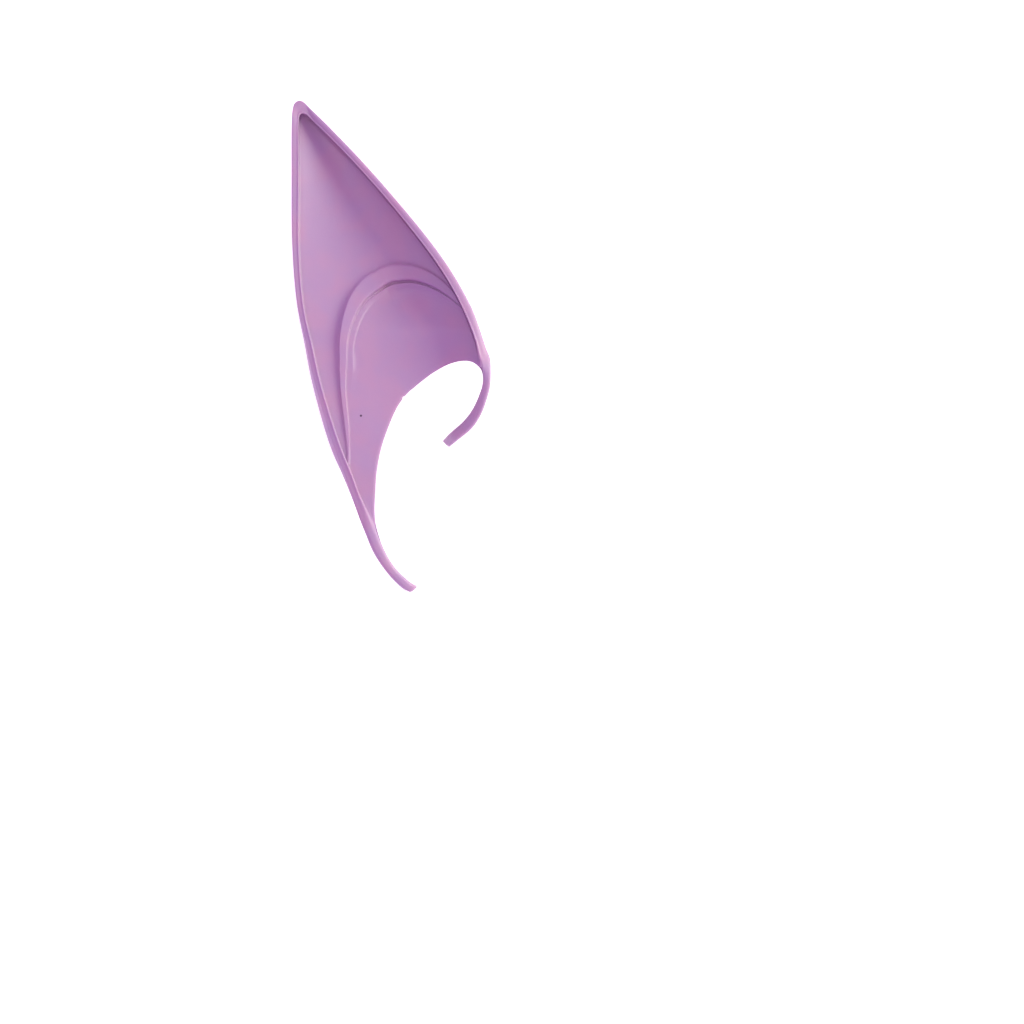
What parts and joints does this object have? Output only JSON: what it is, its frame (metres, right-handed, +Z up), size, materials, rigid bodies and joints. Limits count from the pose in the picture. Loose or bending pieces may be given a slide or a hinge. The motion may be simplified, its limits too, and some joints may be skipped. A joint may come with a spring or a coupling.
{
  "type": "elf ear tip",
  "caption": "Pointed latex elf ear tip: a hollow moulded shell with a rolled rim, scooped front and inner fold, and curved hooks above and below that hold it on an ear.",
  "frame": {"origin": "on the surface the ear tip lies on, under the middle of its outline", "axes": "+Z up out of the scooped front, +Y towards the pointed tip, +X to the side of the upper hook"},
  "size_m": [0.0486, 0.12, 0.0221],
  "materials": {
    "latex": "lilac tinted moulded latex with a soft satin sheen"
  },
  "bodies": {
    "root": {"ear_tip": "latex"}
  },
  "joints": []
}
